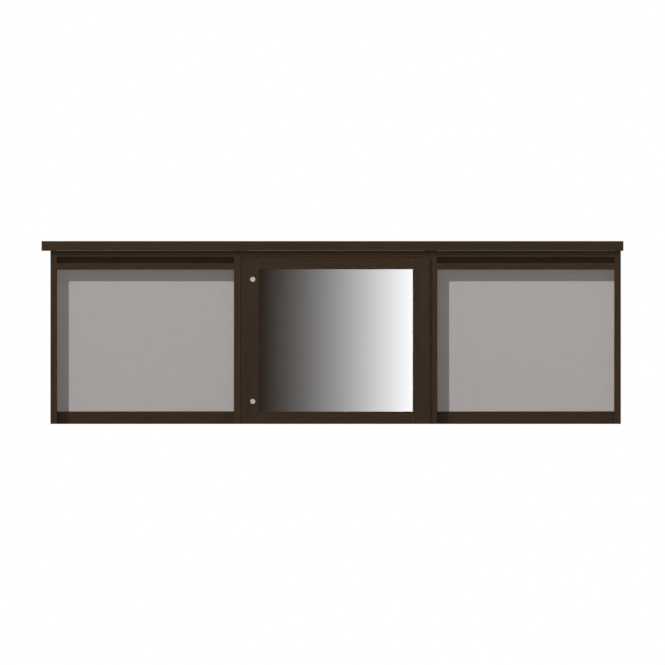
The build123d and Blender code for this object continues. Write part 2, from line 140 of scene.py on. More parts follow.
class Wiring:
    """A node tree under construction."""

    def __init__(self, tree: bpy.types.NodeTree) -> None:
        """Empties the tree."""
        tree.nodes.clear()
        self.tree = tree

    def feed(self, node: bpy.types.Node, inputs: dict[str | int, Feed]) -> None:
        """Sets or joins inputs of a node.

        Args:
            node: the node that is fed.
            inputs: for each socket, a plain value or the output that feeds it.
        """
        for key, value in inputs.items():
            if isinstance(value, bpy.types.NodeSocket):
                self.tree.links.new(value, node.inputs[key])
            else:
                node.inputs[key].default_value = value

    def node(
        self, kind: str, inputs: dict[str | int, Feed] | None = None, **settings: object
    ) -> bpy.types.Node:
        """Adds a node.

        Args:
            kind: the node's type.
            inputs: for each socket, a plain value or the output that feeds it.
            **settings: the node's own properties.

        Returns:
            The new node.
        """
        node = self.tree.nodes.new(kind)
        for name, value in settings.items():
            setattr(node, name, value)
        self.feed(node, inputs or {})
        return node

    def math(self, operation: str, *values: Feed) -> bpy.types.NodeSocket:
        """Works out a number from plain values or from the outputs that give them."""
        return self.node("ShaderNodeMath", dict(enumerate(values)), operation=operation).outputs[0]

    def vector(self, operation: str, *values: Feed) -> bpy.types.NodeSocket:
        """Works out a vector, or the one number of a length or a dot product."""
        node = self.node("ShaderNodeVectorMath", dict(enumerate(values)), operation=operation)
        return node.outputs["Value" if operation in ("DOT_PRODUCT", "LENGTH") else "Vector"]

    def remap(
        self, value: Feed, start: Feed, end: Feed, low: Feed = 0.0, high: Feed = 1.0
    ) -> bpy.types.NodeSocket:
        """Carries a number from one range to another, and stops at the ends.

        Args:
            value: the number.
            start: the value that becomes low.
            end: the value that becomes high.
            low: the result at the start.
            high: the result at the end.

        Returns:
            The output that holds the result.
        """
        inputs = {"Value": value, "From Min": start, "From Max": end, "To Min": low, "To Max": high}
        return self.node("ShaderNodeMapRange", inputs).outputs[0]

    def mix(self, share: Feed, first: Feed, second: Feed) -> bpy.types.NodeSocket:
        """Mixes two colours, with the given share of the second."""
        inputs = {MIX_SHARE: share, MIX_FIRST: first, MIX_SECOND: second}
        return self.node("ShaderNodeMix", inputs, data_type="RGBA").outputs[MIX_COLOUR]

    def noise(
        self, place: Feed, scale: Feed, detail: float, roughness: float = 0.5, distortion: float = 0.0
    ) -> bpy.types.NodeSocket:
        """Adds cloudy noise.

        Args:
            place: the coordinates that it is read at.
            scale: how many lumps there are to one unit.
            detail: how many finer layers it has.
            roughness: how strong the finer layers are.
            distortion: how far the lumps are curled.

        Returns:
            The output that holds the noise, around 0.5.
        """
        inputs = {
            "Vector": place,
            "Scale": scale,
            "Detail": detail,
            "Roughness": roughness,
            "Distortion": distortion,
        }
        return self.node("ShaderNodeTexNoise", inputs).outputs[0]

    def effect(self, group: bpy.types.NodeTree, inputs: dict[str, Feed]) -> bpy.types.bpy_prop_collection:
        """Places a shared effect with its values in this place, and gives its outputs."""
        return self.node("ShaderNodeGroup", inputs, node_tree=group).outputs


def start_effect(
    name: str, inputs: dict[str, str], outputs: dict[str, str]
) -> tuple[Wiring, bpy.types.bpy_prop_collection]:
    """Starts a shared effect.

    Args:
        name: what the effect is called.
        inputs: the kind of each input.
        outputs: the kind of each output.

    Returns:
        The wiring of the effect, and what comes in.
    """
    tree = bpy.data.node_groups.new(name, "ShaderNodeTree")
    for label, kind in inputs.items():
        tree.interface.new_socket(label, in_out="INPUT", socket_type=kind)
    for label, kind in outputs.items():
        tree.interface.new_socket(label, in_out="OUTPUT", socket_type=kind)
    wiring = Wiring(tree)
    return wiring, wiring.node("NodeGroupInput").outputs


@dataclass(frozen=True)
class Grain:
    """The grain of a board, read on coordinates that are drawn out along it."""

    streak_scale: float = 1.0
    streak_detail: float = 5.0
    streak_roughness: float = 0.62
    streak_span: Span = (0.34, 0.66)
    pore_scale: float = 4.3
    pore_detail: float = 3.0
    pore_span: Span = (0.54, 0.66)
    pore_depth: float = 0.35
    tone_scale: float = 0.09
    tone_detail: float = 2.0
    tone_share: float = 0.45
    height_span: Span = (0.3, 0.7)
    roughness: Span = (0.56, 0.78)

    @cache
    def group(self) -> bpy.types.NodeTree:
        """Builds the effect once.

        Returns:
            A group that gives a colour, a roughness and a height around 0.5.
        """
        wiring, given = start_effect(
            "board grain",
            {"Place": VECTOR, "Light": COLOUR, "Dark": COLOUR, "Pore": COLOUR},
            {"Colour": COLOUR, "Roughness": FLOAT, "Height": FLOAT},
        )
        place = given["Place"]
        streaks = wiring.noise(place, self.streak_scale, self.streak_detail, self.streak_roughness)
        pores = wiring.noise(place, self.pore_scale, self.pore_detail)
        tone = wiring.noise(place, self.tone_scale, self.tone_detail)
        fine = wiring.math("MULTIPLY", streaks, 1 - self.tone_share)
        shade = wiring.math("MULTIPLY_ADD", tone, self.tone_share, fine)
        streaked = wiring.mix(wiring.remap(shade, *self.streak_span), given["Light"], given["Dark"])
        colour = wiring.mix(wiring.remap(pores, *self.pore_span), streaked, given["Pore"])
        ridges = wiring.math("MULTIPLY_ADD", streaks, 1 - self.pore_depth, self.pore_depth)
        height = wiring.math("MULTIPLY_ADD", pores, -self.pore_depth, ridges)
        roughness = wiring.remap(height, *self.height_span, *self.roughness)
        wiring.node("NodeGroupOutput", {"Colour": colour, "Roughness": roughness, "Height": height})
        return wiring.tree


@dataclass(frozen=True)
class Wear:
    """Wear where the faces of a box-shaped piece meet."""

    patch_detail: float = 4.0
    patch_roughness: float = 0.6
    patch_span: Span = (0.44, 0.62)

    @cache
    def group(self) -> bpy.types.NodeTree:
        """Builds the effect once.

        Returns:
            A group whose mask is 1 on a worn edge.
        """
        wiring, given = start_effect(
            "edge wear",
            {"Place": VECTOR, "Low": VECTOR, "High": VECTOR, "Width": FLOAT, "Patches": FLOAT},
            {"Mask": FLOAT},
        )
        place = given["Place"]
        above = wiring.vector("SUBTRACT", place, given["Low"])
        below = wiring.vector("SUBTRACT", given["High"], place)
        x, y, z = wiring.node("ShaderNodeSeparateXYZ", {0: wiring.vector("MINIMUM", above, below)}).outputs
        wider = wiring.math("MINIMUM", wiring.math("MAXIMUM", x, y), z)
        from_edge = wiring.math("MAXIMUM", wiring.math("MINIMUM", x, y), wider)
        edge = wiring.remap(from_edge, given["Width"], 0.0)
        clouds = wiring.noise(place, given["Patches"], self.patch_detail, self.patch_roughness)
        mask = wiring.math("MULTIPLY", edge, wiring.remap(clouds, *self.patch_span))
        wiring.node("NodeGroupOutput", {"Mask": mask})
        return wiring.tree


@dataclass(frozen=True)
class Dust:
    """Dust that settles on faces that look up."""

    slope_span: Span = (0.5, 0.95)
    patch_detail: float = 5.0
    patch_roughness: float = 0.65
    patch_span: Span = (0.35, 0.7)

    @cache
    def group(self) -> bpy.types.NodeTree:
        """Builds the effect once.

        Returns:
            A group whose mask is 1 where dust lies.
        """
        wiring, given = start_effect("settled dust", {"Place": VECTOR, "Patches": FLOAT}, {"Mask": FLOAT})
        normal = wiring.node("ShaderNodeNewGeometry").outputs["Normal"]
        slope = wiring.vector("DOT_PRODUCT", normal, Run.UPRIGHT.value)
        clouds = wiring.noise(given["Place"], given["Patches"], self.patch_detail, self.patch_roughness)
        upward = wiring.remap(slope, *self.slope_span)
        mask = wiring.math("MULTIPLY", upward, wiring.remap(clouds, *self.patch_span))
        wiring.node("NodeGroupOutput", {"Mask": mask})
        return wiring.tree


@dataclass(frozen=True)
class Fibres:
    """The matted fibres of felt, which lie level or upright."""

    coarse: float = 420.0
    fine: float = 1500.0
    detail: float = 3.0
    curl: float = 1.6
    cloud_scale: float = 24.0
    cloud_detail: float = 4.0
    cloud_roughness: float = 0.6
    cloud_height: float = 0.25

    @cache
    def group(self) -> bpy.types.NodeTree:
        """Builds the effect once.

        Returns:
            A group whose flecks, clouds and height are around 0.5.
        """
        outputs = {"Fleck": FLOAT, "Cloud": FLOAT, "Height": FLOAT}
        wiring, given = start_effect("felt fibres", {"Place": VECTOR}, outputs)
        strands = []
        for fine_way in (Run.UPRIGHT, Run.ACROSS):
            place = wiring.vector("MULTIPLY", given["Place"], fine_way.scale(self.fine, self.coarse))
            strands.append(wiring.noise(place, 1.0, self.detail, distortion=self.curl))
        fleck = wiring.math("MAXIMUM", *strands)
        cloud = wiring.noise(given["Place"], self.cloud_scale, self.cloud_detail, self.cloud_roughness)
        nap = wiring.math("MULTIPLY", fleck, 1 - self.cloud_height)
        height = wiring.math("MULTIPLY_ADD", cloud, self.cloud_height, nap)
        wiring.node("NodeGroupOutput", {"Fleck": fleck, "Cloud": cloud, "Height": height})
        return wiring.tree


@dataclass(frozen=True)
class Mottle:
    """The uneven skin of rubber, moulded plastic, paint and metal."""

    detail: float = 4.0
    roughness: float = 0.6
    pit_scale: float = 9.0
    pit_detail: float = 2.0

    @cache
    def group(self) -> bpy.types.NodeTree:
        """Builds the effect once.

        Returns:
            A group whose shade and height are around 0.5.
        """
        outputs = {"Shade": FLOAT, "Height": FLOAT}
        wiring, given = start_effect("mottled skin", {"Place": VECTOR, "Scale": FLOAT}, outputs)
        shade = wiring.noise(given["Place"], given["Scale"], self.detail, self.roughness)
        pit_scale = wiring.math("MULTIPLY", given["Scale"], self.pit_scale)
        pits = wiring.noise(given["Place"], pit_scale, self.pit_detail)
        wiring.node("NodeGroupOutput", {"Shade": shade, "Height": pits})
        return wiring.tree


class Surface(Wiring):
    """A material under construction, with its shader and the piece's own coordinates."""

    def __init__(self, name: str) -> None:
        """Adds a material with an empty shader.

        Args:
            name: what the material is called.
        """
        self.material = bpy.data.materials.new(name)
        self.material.use_nodes = True
        super().__init__(self.material.node_tree)
        self.shader = self.node("ShaderNodeBsdfPrincipled")
        self.node("ShaderNodeOutputMaterial", {"Surface": self.shader.outputs[0]})
        self.place = self.node("ShaderNodeTexCoord").outputs["Object"]

    def drawn_out(self, run: Run, along: float, over: float, shift: Vector) -> bpy.types.NodeSocket:
        """Draws the coordinates out along a piece.

        Args:
            run: the way that the piece runs.
            along: units to the metre along it.
            over: units to the metre over its width and depth.
            shift: where the pattern starts.

        Returns:
            The output that holds the coordinates.
        """
        inputs = {"Vector": self.place, "Location": shift, "Scale": run.scale(along, over)}
        return self.node("ShaderNodeMapping", inputs).outputs[0]

    def ringed(self, centre: Vector, over: float) -> bpy.types.NodeSocket:
        """Lays the coordinates in rings about an axis that runs from front to back.

        Args:
            centre: a point of the axis.
            over: units to the metre out from it.

        Returns:
            The output that holds the coordinates.
        """
        away = self.vector("SUBTRACT", self.place, centre)
        sideways = self.vector("MULTIPLY", away, Run.INWARD.scale(0.0, 1.0))
        radius = self.vector("LENGTH", sideways)
        return self.node("ShaderNodeCombineXYZ", {"X": self.math("MULTIPLY", radius, over)}).outputs[0]

    def worn(self, box: Box, width: float, patches: float, share: float) -> bpy.types.NodeSocket:
        """Adds wear along the edges of a box.

        Args:
            box: its lowest and highest corner.
            width: how far the wear reaches from an edge.
            patches: how many worn patches there are to the metre.
            share: how much of the wear shows.

        Returns:
            The output that holds its mask.
        """
        inputs = {"Place": self.place, "Low": box[0], "High": box[1], "Width": width, "Patches": patches}
        return self.math("MULTIPLY", self.effect(Wear().group(), inputs)["Mask"], share)

    def dusty(self, patches: float, share: float) -> bpy.types.NodeSocket:
        """Adds a share of dust, with so many patches to the metre, and gives its mask."""
        mask = self.effect(Dust().group(), {"Place": self.place, "Patches": patches})["Mask"]
        return self.math("MULTIPLY", mask, share)

    def mottled(self, place: Feed, scale: float) -> bpy.types.bpy_prop_collection:
        """Adds an uneven skin with so many lumps to one unit, and gives its outputs."""
        return self.effect(Mottle().group(), {"Place": place, "Scale": scale})

    def bump(self, height: Feed, strength: float, depth: float) -> None:
        """Gives the shader a relief of a depth in metres, of which the given strength shows."""
        inputs = {"Height": height, "Strength": strength, "Distance": depth}
        self.feed(self.shader, {"Normal": self.node("ShaderNodeBump", inputs).outputs[0]})


@dataclass(frozen=True)
class BoardFinish:
    """A solid board with a grain along its length."""

    light: Colour
    dark: Colour
    worn: Colour
    gloss: Colour = (1.0, 0.66, 0.42, 1.0)
    dust: Colour = srgb(126, 116, 104)
    shine: float = 0.4
    wear: float = 0.4
    wear_width: float = 3 * MM
    wear_patches: float = 26.0
    dustiness: float = 0.24
    dust_patches: float = 15.0
    grain_along: float = 7.0
    grain_over: float = 190.0
    pore_share: float = 0.55
    relief: float = 0.3
    relief_depth: float = 0.5 * MM

    def material(
        self, name: str, run: Run, box: Box, shift: Vector, share: float = 1.0
    ) -> bpy.types.Material:
        """Makes the finish for one board.

        Args:
            name: the board's name.
            run: the way that the board runs.
            box: the lowest and highest corner of the board.
            shift: where its grain starts.
            share: how light the board is beside its neighbours.

        Returns:
            The board's own material.
        """
        surface = Surface(f"board {name}")
        shades = {
            "Light": shaded(self.light, share),
            "Dark": shaded(self.dark, share),
            "Pore": shaded(self.dark, share * self.pore_share),
        }
        place = surface.drawn_out(run, self.grain_along, self.grain_over, shift)
        grain = surface.effect(Grain().group(), {"Place": place, **shades})
        worn = surface.worn(box, self.wear_width, self.wear_patches, self.wear)
        dusty = surface.dusty(self.dust_patches, self.dustiness)
        inputs = {
            "Base Color": surface.mix(dusty, surface.mix(worn, grain["Colour"], self.worn), self.dust),
            "Roughness": grain["Roughness"],
            "Specular IOR Level": self.shine,
            "Specular Tint": self.gloss,
        }
        surface.feed(surface.shader, inputs)
        surface.bump(grain["Height"], self.relief, self.relief_depth)
        return surface.material


@dataclass(frozen=True)
class FeltFinish:
    """Felt glued round a soft board."""

    light: Colour
    dark: Colour
    rubbed: Colour
    shine: float = 0.2
    sheen: float = 0.06
    cloudiness: float = 0.12
    shade_span: Span = (0.36, 0.76)
    fleck_span: Span = (0.3, 0.8)
    roughness: Span = (0.88, 1.0)
    rub: float = 0.2
    rub_width: float = 4 * MM
    rub_patches: float = 30.0
    relief: float = 0.35
    relief_depth: float = 0.6 * MM

    def material(self, name: str, box: Box) -> bpy.types.Material:
        """Makes the felt of one board.

        Args:
            name: the board's name.
            box: the lowest and highest corner of the board.

        Returns:
            The felt's material.
        """
        surface = Surface(f"felt {name}")
        fibres = surface.effect(Fibres().group(), {"Place": surface.place})
        cloud = surface.math("MULTIPLY", fibres["Cloud"], self.cloudiness)
        shade = surface.math("MULTIPLY_ADD", fibres["Fleck"], 1 - self.cloudiness, cloud)
        colour = surface.mix(surface.remap(shade, *self.shade_span), self.dark, self.light)
        rubbed = surface.worn(box, self.rub_width, self.rub_patches, self.rub)
        inputs = {
            "Base Color": surface.mix(rubbed, colour, self.rubbed),
            "Roughness": surface.remap(fibres["Fleck"], *self.fleck_span, *self.roughness),
            "Specular IOR Level": self.shine,
            "Sheen Weight": self.sheen,
        }
        surface.feed(surface.shader, inputs)
        surface.bump(fibres["Height"], self.relief, self.relief_depth)
        return surface.material


@dataclass(frozen=True)
class SkinFinish:
    """Rubber, moulded plastic or paint, with an uneven skin."""

    light: Colour
    dark: Colour
    worn: Colour
    roughness: Span = (0.5, 0.75)
    shine: float = 0.3
    mottle: float = 60.0
    shade_span: Span = (0.35, 0.65)
    rough_span: Span = (0.3, 0.7)
    wear: float = 0.3
    wear_width: float = 2 * MM
    wear_patches: float = 40.0
    relief: float = 0.2
    relief_depth: float = 0.2 * MM

    def material(self, name: str, box: Box) -> bpy.types.Material:
        """Makes the skin of one piece.

        Args:
            name: the piece's name.
            box: the lowest and highest corner of the piece.

        Returns:
            The piece's material.
        """
        surface = Surface(f"skin {name}")
        mottle = surface.mottled(surface.place, self.mottle)
        colour = surface.mix(surface.remap(mottle["Shade"], *self.shade_span), self.dark, self.light)
        worn = surface.worn(box, self.wear_width, self.wear_patches, self.wear)
        inputs = {
            "Base Color": surface.mix(worn, colour, self.worn),
            "Roughness": surface.remap(mottle["Shade"], *self.rough_span, *self.roughness),
            "Specular IOR Level": self.shine,
        }
        surface.feed(surface.shader, inputs)
        surface.bump(mottle["Height"], self.relief, self.relief_depth)
        return surface.material


@dataclass(frozen=True)
class MetalFinish:
    """Bare metal, brushed one way or turned in rings."""

    light: Colour
    dark: Colour
    roughness: Span = (0.24, 0.42)
    brush_along: float = 90.0
    brush_over: float = 2600.0
    brush_share: float = 0.5
    shade_span: Span = (0.38, 0.62)
    rough_span: Span = (0.3, 0.7)
    relief: float = 0.12
    relief_depth: float = 0.05 * MM

    def material(self, name: str, lines: Run | Vector) -> bpy.types.Material:
        """Makes the metal of one piece.

        Args:
            name: the piece's name.
            lines: the way that it is brushed, or a point of the axis that it is turned about.

        Returns:
            The piece's material.
        """
        surface = Surface(f"metal {name}")
        if isinstance(lines, Run):
            place = surface.drawn_out(lines, self.brush_along, self.brush_over, Vector())
        else:
            place = surface.ringed(lines, self.brush_over)
        brushed = surface.mottled(place, 1.0)
        tarnish = surface.mottled(surface.place, self.brush_along)
        clouds = surface.math("MULTIPLY", tarnish["Shade"], 1 - self.brush_share)
        shade = surface.math("MULTIPLY_ADD", brushed["Shade"], self.brush_share, clouds)
        inputs = {
            "Base Color": surface.mix(surface.remap(shade, *self.shade_span), self.dark, self.light),
            "Metallic": 1.0,
            "Roughness": surface.remap(brushed["Shade"], *self.rough_span, *self.roughness),
        }
        surface.feed(surface.shader, inputs)
        surface.bump(brushed["Shade"], self.relief, self.relief_depth)
        return surface.material


@dataclass(frozen=True)
class GlazingFinish:
    """A bronze-smoked pane with a hard coat and a few smears."""

    tint: Colour
    density: float = 1.585
    coat: float = 1.0
    coat_density: float = 1.5
    smear_scale: float = 14.0
    smear_span: Span = (0.5, 0.75)
    roughness: Span = (0.0, 0.03)

    def material(self, name: str) -> bpy.types.Material:
        """Makes the glass of one pane.

        Args:
            name: the pane's name.

        Returns:
            The pane's material.
        """
        surface = Surface(f"glazing {name}")
        smears = surface.mottled(surface.place, self.smear_scale)
        inputs = {
            "Base Color": self.tint,
            "Transmission Weight": 1.0,
            "IOR": self.density,
            "Roughness": surface.remap(smears["Shade"], *self.smear_span, *self.roughness),
            "Coat Weight": self.coat,
            "Coat IOR": self.coat_density,
            "Coat Roughness": 0.0,
        }
        surface.feed(surface.shader, inputs)
        return surface.material


BROWN_BOARD = BoardFinish(light=srgb(45, 34, 25), dark=srgb(36, 27, 20), worn=srgb(84, 66, 52))
BARE_TIMBER = BoardFinish(
    light=srgb(196, 160, 118), dark=srgb(168, 130, 90), worn=srgb(205, 178, 142), gloss=WHITE
)
GREY_FELT = FeltFinish(light=srgb(178, 172, 170), dark=srgb(155, 150, 148), rubbed=srgb(184, 178, 175))
BACK_BOARD = SkinFinish(
    light=srgb(52, 42, 33),
    dark=srgb(43, 34, 27),
    worn=srgb(88, 76, 66),
    shine=0.15,
    mottle=16.0,
    wear_width=3 * MM,
)
GREY_RUBBER = SkinFinish(light=srgb(88, 82, 78), dark=srgb(78, 72, 69), worn=srgb(102, 96, 92), shine=0.1)
BLACK_RUBBER = SkinFinish(light=srgb(40, 40, 41), dark=srgb(28, 28, 29), worn=srgb(66, 66, 66))
BLOCK_PLASTIC = SkinFinish(light=srgb(64, 64, 65), dark=srgb(54, 54, 55), worn=srgb(92, 92, 92))
BRONZE_COAT = SkinFinish(
    light=srgb(50, 38, 29), dark=srgb(43, 32, 24), worn=srgb(84, 70, 58), shine=0.08, wear_width=1 * MM
)
STAINLESS = MetalFinish(light=srgb(170, 171, 174), dark=srgb(140, 141, 145), roughness=(0.28, 0.44))
BRASS = MetalFinish(light=srgb(205, 178, 124), dark=srgb(190, 162, 106))
SATIN_NICKEL = MetalFinish(light=srgb(194, 196, 198), dark=srgb(168, 170, 172), roughness=(0.24, 0.38))
SMOKED_PANE = GlazingFinish(tint=(0.31, 0.25, 0.18, 1.0))


class Bay(Enum):
    """The three bays, from left to right."""

    LEFT = "left"
    MIDDLE = "middle"
    RIGHT = "right"


class Level(Enum):
    """The two heights at which the door is locked."""

    UPPER = "upper"
    LOWER = "lower"


def boxes_mesh(boxes: list[Box]) -> bmesh.types.BMesh:
    """Makes straight-sided blocks.

    Args:
        boxes: the lowest and highest corner of each block.

    Returns:
        A new mesh with all of them.
    """
    mesh = bmesh.new()
    for low, high in boxes:
        verts = bmesh.ops.create_cube(mesh, size=1.0)["verts"]
        bmesh.ops.scale(mesh, vec=high - low, verts=verts)
        bmesh.ops.translate(mesh, vec=(low + high) / 2, verts=verts)
    return mesh


def raise_faces(mesh: bmesh.types.BMesh, faces: list[bmesh.types.BMFace], height: float) -> None:
    """Draws faces out towards the front.

    Args:
        mesh: the mesh that holds them.
        faces: the faces to draw out.
        height: how far they go.
    """
    drawn = bmesh.ops.extrude_face_region(mesh, geom=faces)["geom"]
    verts = [part for part in drawn if isinstance(part, bmesh.types.BMVert)]
    bmesh.ops.translate(mesh, vec=(0, -height, 0), verts=verts)


def ring_mesh(low: Vector, high: Vector, width: float, thickness: float) -> bmesh.types.BMesh:
    """Makes a flat four-sided ring with mitred corners, whose back lies at the box's back.

    Args:
        low: the lowest corner of its box.
        high: the highest corner of its box.
        width: how wide its four sides are.
        thickness: how far it stands forward.

    Returns:
        A new mesh.
    """
    mesh = bmesh.new()
    size = high - low
    centre = Vector(((low.x + high.x) / 2, high.y, (low.z + high.z) / 2))
    upright = Matrix.Rotation(math.radians(90), 4, "X")
    place = Matrix.Translation(centre) @ upright @ Matrix.Diagonal((size.x, size.z, 1.0, 1.0))
    bmesh.ops.create_grid(mesh, x_segments=1, y_segments=1, size=0.5, matrix=place)
    middle = mesh.faces[:]
    bmesh.ops.inset_region(mesh, faces=middle, thickness=width, use_boundary=True, use_even_offset=True)
    bmesh.ops.delete(mesh, geom=middle, context="FACES")
    raise_faces(mesh, mesh.faces[:], thickness)
    bmesh.ops.recalc_face_normals(mesh, faces=mesh.faces)
    return mesh


def front_faces(mesh: bmesh.types.BMesh) -> list[bmesh.types.BMFace]:
    """Finds the faces that lie furthest forward and look that way."""
    front = min(vert.co.y for vert in mesh.verts) + FLUSH
    return [face for face in mesh.faces if all(vert.co.y < front for vert in face.verts)]


def round_front(mesh: bmesh.types.BMesh, radius: float, segments: int) -> None:
    """Rounds the edges round the foremost faces.

    Args:
        mesh: the mesh to round.
        radius: how far the rounding reaches.
        segments: how many steps it has.
    """
    faces = front_faces(mesh)
    rims = [edge for edge in mesh.edges if sum(face in faces for face in edge.link_faces) == 1]
    rounded = bmesh.ops.bevel(
        mesh,
        geom=rims,
        offset=radius,
        affect="EDGES",
        segments=segments,
        profile=0.5,
        material=-1,
        clamp_overlap=True,
    )
    for face in rounded["faces"]:
        face.smooth = True


def shade_smooth(mesh: bmesh.types.BMesh, sharp: float) -> None:
    """Shades a mesh as round, apart from its sharp edges.

    Args:
        mesh: the mesh to shade.
        sharp: the least angle between two faces at which their edge stays sharp.
    """
    for face in mesh.faces:
        face.smooth = True
    for edge in mesh.edges:
        edge.smooth = edge.calc_face_angle() < sharp


class Assembly:
    """Pieces that are made and dressed together."""

    board_numbers: ClassVar[Iterator[int]] = count()
    board_shares: ClassVar[tuple[float, ...]] = (1.0, 0.97, 1.02, 0.99, 1.03)
    grain_step: ClassVar[Vector] = Vector((3.7, 5.3, 2.9))

    def dress(self, node: str, material: bpy.types.Material) -> None:
        """Gives a solid its finish, and reports it.

        Args:
            node: the solid's name.
            material: its finish.
        """
        for slot in frame["nodes"][node].material_slots:
            slot.material = material
        LOG.info("%s: %s", node, material.name)

    def dress_board(self, node: str, run: Run) -> None:
        """Gives a board a grain and a tone of its own.

        Args:
            node: the board's name.
            run: the way that it runs.
        """
        number = next(self.board_numbers)
        shift = number * self.grain_step
        share = self.board_shares[number % len(self.board_shares)]
        self.dress(node, BROWN_BOARD.material(node, run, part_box(node), shift, share))

    def dress_steel(self, *nodes: str) -> None:
        """Gives fastenings and fittings their bare steel."""
        for node in nodes:
            self.dress(node, STAINLESS.material(node, Run.ACROSS))

    def add(
        self, name: str, mesh: bmesh.types.BMesh, node: str, slot: str, material: bpy.types.Material
    ) -> None:
        """Adds a modelled piece in place of a solid, and reports it.

        Args:
            name: the piece's name.
            mesh: its shape, which is used up.
            node: the solid that it stands for.
            slot: the record's name for its finish; not used.
            material: its finish.
        """
        data = bpy.data.meshes.new(name)
        mesh.to_mesh(data)
        mesh.free()
        data.materials.append(material)
        piece = bpy.data.objects.new(name, data)
        bpy.context.scene.collection.objects.link(piece)
        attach(piece, frame["nodes"][node]["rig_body"])
        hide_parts(node)
        LOG.info("%s: %s, %d faces in place of %s", name, material.name, len(data.polygons), node)


@dataclass
class RainCap(Assembly):
    """The full-length cap, its screws and the rubber strips let into its lower front edge."""

    nose_radius: float = 1.2 * MM
    nose_segments: int = 4

    def strip_mesh(self) -> bmesh.types.BMesh:
        """Makes a drip strip over each bay's opening, with a rounded nose.

        Returns:
            A new mesh with all the strips.
        """
        low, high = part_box("cap_drip_strips")
        boxes = []
        for bay in Bay:
            left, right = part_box(f"{bay.value}_bay_header")
            boxes.append((Vector((left.x, low.y, low.z)), Vector((right.x, high.y, high.z))))
        mesh = boxes_mesh(boxes)
        round_front(mesh, self.nose_radius, self.nose_segments)
        return mesh

    def build(self) -> None:
        """Dresses the cap and adds its strips."""
        self.dress_board("rain_cap", Run.ACROSS)
        self.dress_steel("cap_screws")
        rubber = GREY_RUBBER.material("drip strips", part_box("cap_drip_strips"))
        self.add("cap_drip_rubber", self.strip_mesh(), "cap_drip_strips", "grey_seal", rubber)


@dataclass
class BayFrame(Assembly):
    """One bay: its stiles, header and foot, its back panel and its pinboard."""

    bay: Bay
    wrap_radius: float = 2.5 * MM
    wrap_segments: int = 4

    def boards(self) -> dict[str, Run]:
        """Names the bay's boards.

        Returns:
            For each board, the way that it runs.
        """
        if self.bay is Bay.MIDDLE:
            rails, stiles = ("header", "sill"), ("left_stile", "right_stile")
        else:
            rails, stiles = ("header", "foot_rail"), ("outer_stile", "inner_stile")
        return dict.fromkeys(rails, Run.ACROSS) | dict.fromkeys(stiles, Run.UPRIGHT)

    def felt_mesh(self, box: Box) -> bmesh.types.BMesh:
        """Makes a soft board whose felt wraps round its front edges.

        Args:
            box: the lowest and highest corner of the board.

        Returns:
            A new mesh.
        """
        mesh = boxes_mesh([box])
        round_front(mesh, self.wrap_radius, self.wrap_segments)
        return mesh

    def build(self) -> None:
        """Dresses the frame and adds the pinboard."""
        side = self.bay.value
        for board, run in self.boards().items():
            self.dress_board(f"{side}_bay_{board}", run)
        panel = f"{side}_back_panel"
        self.dress(panel, BACK_BOARD.material(panel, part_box(panel)))
        node = f"{side}_pinboard"
        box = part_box(node)
        felt = GREY_FELT.material(side, box)
        self.add(f"{side}_felt_board", self.felt_mesh(box), node, "pin_cloth", felt)


@dataclass
class DoorStop(Assembly):
    """What the closed door meets: a bulb seal, and the keeps that its locks turn behind."""

    foot_width: float = 10 * MM
    foot_height: float = 1.2 * MM
    shoulder: float = 2 * MM
    bulb_radius: float = 1.4 * MM
    bulb_segments: int = 5

    def seal_mesh(self) -> bmesh.types.BMesh:
        """Makes a flat foot with a round bulb along it.

        Returns:
            A new mesh.
        """
        low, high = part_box("door_seal")
        mesh = ring_mesh(low, high, self.foot_width, self.foot_height)
        foot = front_faces(mesh)
        bmesh.ops.inset_region(mesh, faces=foot, thickness=self.shoulder, use_even_offset=True)
        raise_faces(mesh, foot, high.y - low.y - self.foot_height)
        bmesh.ops.delete(mesh, geom=foot, context="FACES")
        round_front(mesh, self.bulb_radius, self.bulb_segments)
        return mesh

    def build(self) -> None:
        """Adds the seal and dresses the keeps."""
        rubber = BLACK_RUBBER.material("door seal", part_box("door_seal"))
        self.add("door_bulb_seal", self.seal_mesh(), "door_seal", "black_seal", rubber)
        self.dress_steel("lock_keeps", "keep_screws")


@dataclass
class Door(Assembly):
    """The door's frame, its pane and what holds the pane."""

    level_boards: tuple[str, ...] = (
        "door_top_rail",
        "door_bottom_rail",
        "glazing_bead_top",
        "glazing_bead_bottom",
    )
    upright_boards: tuple[str, ...] = (
        "door_lock_stile",
        "door_hinge_stile",
        "glazing_bead_lock_side",
        "glazing_bead_hinge_side",
    )
    gasket_width: float = 9 * MM
    gasket_radius: float = 0.6 * MM
    gasket_segments: int = 3

    def gasket_mesh(self) -> bmesh.types.BMesh:
        """Makes the gasket that the pane is pressed against.

        Returns:
            A new mesh.
        """
        low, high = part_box("glazing_gasket")
        mesh = ring_mesh(low, high, self.gasket_width, high.y - low.y)
        round_front(mesh, self.gasket_radius, self.gasket_segments)
        return mesh

    def build(self) -> None:
        """Dresses the frame and the pane, and adds the gasket."""
        for node in self.level_boards:
            self.dress_board(node, Run.ACROSS)
        for node in self.upright_boards:
            self.dress_board(node, Run.UPRIGHT)
        self.dress("door_glazing", SMOKED_PANE.material("door"))
        rubber = BLACK_RUBBER.material("gasket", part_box("glazing_gasket"))
        self.add("glazing_rubber_gasket", self.gasket_mesh(), "glazing_gasket", "black_seal", rubber)
        self.dress("setting_blocks", BLOCK_PLASTIC.material("setting blocks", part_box("setting_blocks")))
        dowels = BARE_TIMBER.material("dowels", Run.ACROSS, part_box("door_dowels"), Vector())
        self.dress("door_dowels", dowels)
        self.dress_steel("bead_screws")


